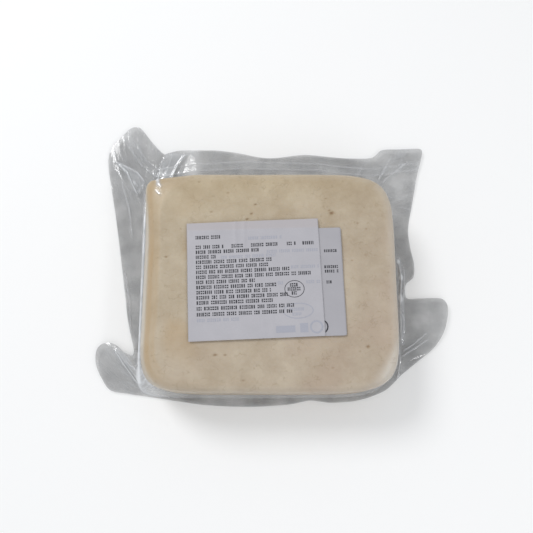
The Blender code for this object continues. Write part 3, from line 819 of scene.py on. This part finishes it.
def past_rear_label(along, up):
    """0 where the rear label lies behind the front one, rising to 1 within a millimetre
    past its edges: the point's place along and up the rear label, less its half sizes."""
    x, y = label_place(FRONT_LABEL, along, up, 0)[..., :2].transpose(2, 0, 1)
    (length, width), centre, turn = REAR_LABEL[:2], REAR_LABEL[3], REAR_LABEL[4]
    x, y = x - PLAN_MIDDLE[0] - centre[0], y - PLAN_MIDDLE[1] - centre[1]
    along, up = x * np.cos(turn) + y * np.sin(turn), y * np.cos(turn) - x * np.sin(turn)
    return smooth_step(np.maximum(np.abs(along) - length / 2, np.abs(up) - width / 2) / 0.001)


def front_wrinkles(along, up):
    """Long waves, a step down past the rear label's edge, two short upright folds below the
    top edge and two faint ones lower down."""
    x, y = along, up
    height = 0.00006 * patches(along, up, 0.018, 22) - 0.00018 * past_rear_label(along, up)
    for line, half_width, high in (
        (((-11.0, 42.0), (-11.3, 21.0)), 0.0011, 0.00034),
        (((-5.2, 42.0), (-5.8, 19.0)), 0.0010, 0.00030),
        (((9.5, -22.0), (11.0, -42.0)), 0.0012, 0.00020),
        (((4.0, -26.0), (4.5, -42.0)), 0.0011, 0.00014),
    ):
        height = height + high * ridge(x, y, line, half_width)
    return height


front_label = paper_sheet("front_paper", FRONT_LABEL, FRONT_HEIGHT, 110, 100, front_wrinkles,
                          past_rear_label)
front_label.data.materials.append(label_paper("front_paper", 0.97))
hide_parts("front_label")
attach(front_label, "root")


# The print on both labels: rows of plain dark ticks in groups, and plain rings, one of them
# with three short rows in it. Rows, rings and two boxes show faintly through the front label.
INK_LIFT = PAPER_IN_SCENE + 0.00003
TICK_GAP, GROUP_GAP = 0.00035, 0.0015
TICK_LEAST, TICK_MOST = 0.0006, 0.0012
SPLIT_SHARE = 0.45


def marks(name, label, height, wrinkles, boxes, ink):
    """Flat boxes that follow the paper, each (left, length, middle, height)."""
    start, wide, middle, high = np.array(boxes).T
    a = start[:, None] + wide[:, None] * np.array((0, 1, 1, 0))
    u = middle[:, None] + high[:, None] * np.array((-0.5, -0.5, 0.5, 0.5))
    points = label_place(label, a, u, height + INK_LIFT + wrinkles(a, u)).reshape(-1, 3)
    mesh = bpy.data.meshes.new(name)
    mesh.from_pydata(points.tolist(), [], np.arange(len(points)).reshape(-1, 4).tolist())
    mesh.materials.append(ink)
    made = bpy.data.objects.new(name, mesh)
    bpy.context.scene.collection.objects.link(made)
    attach(made, "root")


def ticks(rows, tall):
    """Boxes of rows of small upright ticks in groups. A row is (left, up, length). A seeded
    draw gives each tick's width, and splits some in two, one above the other."""
    rng = np.random.default_rng(len(rows))
    boxes = []
    for left, up, length in rows:
        at, run = 0.0, rng.integers(3, 9)
        while at < length - TICK_LEAST:
            wide = rng.uniform(TICK_LEAST, TICK_MOST)
            if rng.random() < SPLIT_SHARE:
                boxes += [(left + at, wide, up + 0.29 * tall, 0.40 * tall),
                          (left + at, wide, up - 0.31 * tall, 0.38 * tall)]
            else:
                boxes.append((left + at, wide * 0.85, up, tall))
            run -= 1
            at += wide + (TICK_GAP if run else GROUP_GAP)
            run = run or rng.integers(3, 9)
    return boxes


def oval(name, label, height, wrinkles, centre, radii, width, ink):
    """A flat oval ring: a grid of two edges by 72 steps round, that follows the paper."""
    turn = np.linspace(0, 2 * np.pi, 72, endpoint=False)
    out = np.array((0.5, -0.5))[:, None] * width
    a = centre[0] + (radii[0] + out) * np.cos(turn)
    u = centre[1] + (radii[1] + out) * np.sin(turn)
    points = label_place(label, a, u, height + INK_LIFT + wrinkles(a, u))
    made = ring_mesh(name, points, place=False)
    made.data.materials.append(ink)
    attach(made, "root")


def ink_finish(name, dark, pale, roughness):
    """Printed ink: its tone breaks up a little, as thermal print does."""
    finish, tree, principled = new_material(name)
    worn = patch_node(tree, 1500, 2.5)
    tree.links.new(blend(tree, worn, dark, pale), principled.inputs["Base Color"])
    principled.inputs["Roughness"].default_value = roughness
    return finish


black_ink = ink_finish("black_ink", (0.018, 0.018, 0.024), (0.050, 0.050, 0.060), 0.5)
show_through = ink_finish("show_through_ink", (0.350, 0.358, 0.415), (0.385, 0.390, 0.445), 0.55)

# Rows on the front label, from its top left corner: in from the left, down, and length, mm.
# Most start at the left margin, 3.3 mm apart; the last three lie in the ring.
front_lengths = (17.7, 0, 42.3, 14.0, 47.7, 46.5, 59.6, 74.5, 37.6, 50.3, 47.7, 58.2, 49.6)
front_rows = [(5.6, 9.8 if k == 0 else 12.9 + 3.3 * k, length)
              for k, length in enumerate(front_lengths) if length]
front_rows += [(5.6, 56.2, 61.7), (5.6, 59.9, 60.0)]
front_rows += [(left, 16.2, length) for left, length in
               ((5.6, 17.7), (28.5, 7.3), (41.0, 18.4), (64.0, 5.3), (74.0, 7.5))]
front_rows += [(64.6, 43.4, 4.6), (63.0, 46.0, 8.4), (65.4, 48.6, 3.6)]
half_long, half_wide = FRONT_LABEL[0] / 2, FRONT_LABEL[1] / 2


def rows_on(label, rows):
    """Rows given in mm from the label's top left corner, made lengths from its centre."""
    return [(left / 1000 - label[0] / 2, label[1] / 2 - down / 1000, length / 1000)
            for left, down, length in rows]


marks("front_print", FRONT_LABEL, FRONT_HEIGHT, front_wrinkles,
      ticks(rows_on(FRONT_LABEL, front_rows), 0.0023), black_ink)
oval("ring_stamp", FRONT_LABEL, FRONT_HEIGHT, front_wrinkles,
     (0.0673 - half_long, half_wide - 0.0460), (0.0061, 0.0053), 0.00042, black_ink)

ghost_rows = rows_on(FRONT_LABEL, (
    (39.5, 11.6, 21.0), (51.0, 21.0, 32.5), (21.6, 23.4, 35.0), (66.0, 31.8, 17.5),
    (75.0, 41.8, 9.0), (57.0, 41.8, 3.5), (63.5, 59.0, 9.0), (65.0, 62.0, 6.0), (5.6, 63.6, 26.8)))
ghost_boxes = ticks(ghost_rows, 0.0020)
ghost_boxes += [(0.0545 - half_long, 0.0120, half_wide - 0.0712, 0.0042),
                (0.0695 - half_long, 0.0050, half_wide - 0.0708, 0.0058)]
marks("show_through_print", FRONT_LABEL, FRONT_HEIGHT, front_wrinkles, ghost_boxes, show_through)
for name, centre, radii, width in (
    ("show_through_oval", (0.0690, 0.0600), (0.0092, 0.0047), 0.0006),
    ("show_through_ring", (0.0797, 0.0706), (0.0036, 0.0036), 0.0011),
):
    oval(name, FRONT_LABEL, FRONT_HEIGHT, front_wrinkles,
         (centre[0] - half_long, half_wide - centre[1]), radii, width, show_through)

rear_rows = rows_on(REAR_LABEL, (
    (86.6, 15.4, 8.2), (86.2, 25.9, 9.4), (86.4, 28.8, 9.4), (87.0, 35.8, 3.0)))
marks("rear_print", REAR_LABEL, REAR_HEIGHT, rear_wrinkles, ticks(rear_rows, 0.0019), black_ink)
oval("rear_ring", REAR_LABEL, REAR_HEIGHT, rear_wrinkles, (0.03315, -0.0291), (0.0042, 0.0042),
     0.0009, black_ink)


# The floor and the light: a plain pale floor, a soft lamp high on the left behind the pack,
# a weaker one in front, a small weak one on the right, and even light from all round.
def floor_and_light():
    """Adds a flat floor disc under the pack, three soft lamps and a pale surround."""
    level = -0.0002
    turn = np.linspace(0, 2 * np.pi, 96, endpoint=False)
    radii = np.array((3.0, 1.0, 0.4))[:, None]
    plan = radii * np.cos(turn), radii * np.sin(turn)
    rings = np.stack([*plan, np.full(plan[0].shape, level)], axis=-1)
    floor = ring_mesh("floor", rings, last=(0, 0, level), place=False)
    finish, tree, principled = new_material("pale_floor")
    principled.inputs["Base Color"].default_value = (0.94, 0.94, 0.94, 1)
    principled.inputs["Roughness"].default_value = 0.9
    floor.data.materials.append(finish)
    for name, place, size, power in (("key_lamp", (-0.75, 0.75, 1.10), 0.60, 9.2),
                                     ("near_lamp", (0.25, -1.00, 0.95), 0.90, 3.0),
                                     ("side_lamp", (0.70, -0.20, 0.80), 0.16, 1.1)):
        lamp = bpy.data.objects.new(name, bpy.data.lights.new(name, "AREA"))
        lamp.data.shape, lamp.data.size, lamp.data.energy = "DISK", size, power
        lamp.location = place
        toward = np.array((0, 0, 0.02)) - place
        lamp.rotation_euler = (np.arccos(-toward[2] / np.linalg.norm(toward)), 0,
                               np.arctan2(toward[1], toward[0]) - np.pi / 2)
        bpy.context.scene.collection.objects.link(lamp)
    world = bpy.data.worlds.new("surround")
    world.use_nodes = True
    sky = world.node_tree.nodes["Background"].inputs
    sky["Color"].default_value, sky["Strength"].default_value = (0.96, 0.98, 1.0, 1), 0.59
    bpy.context.scene.world = world
    bpy.context.scene.view_settings.view_transform = "Standard"


floor_and_light()
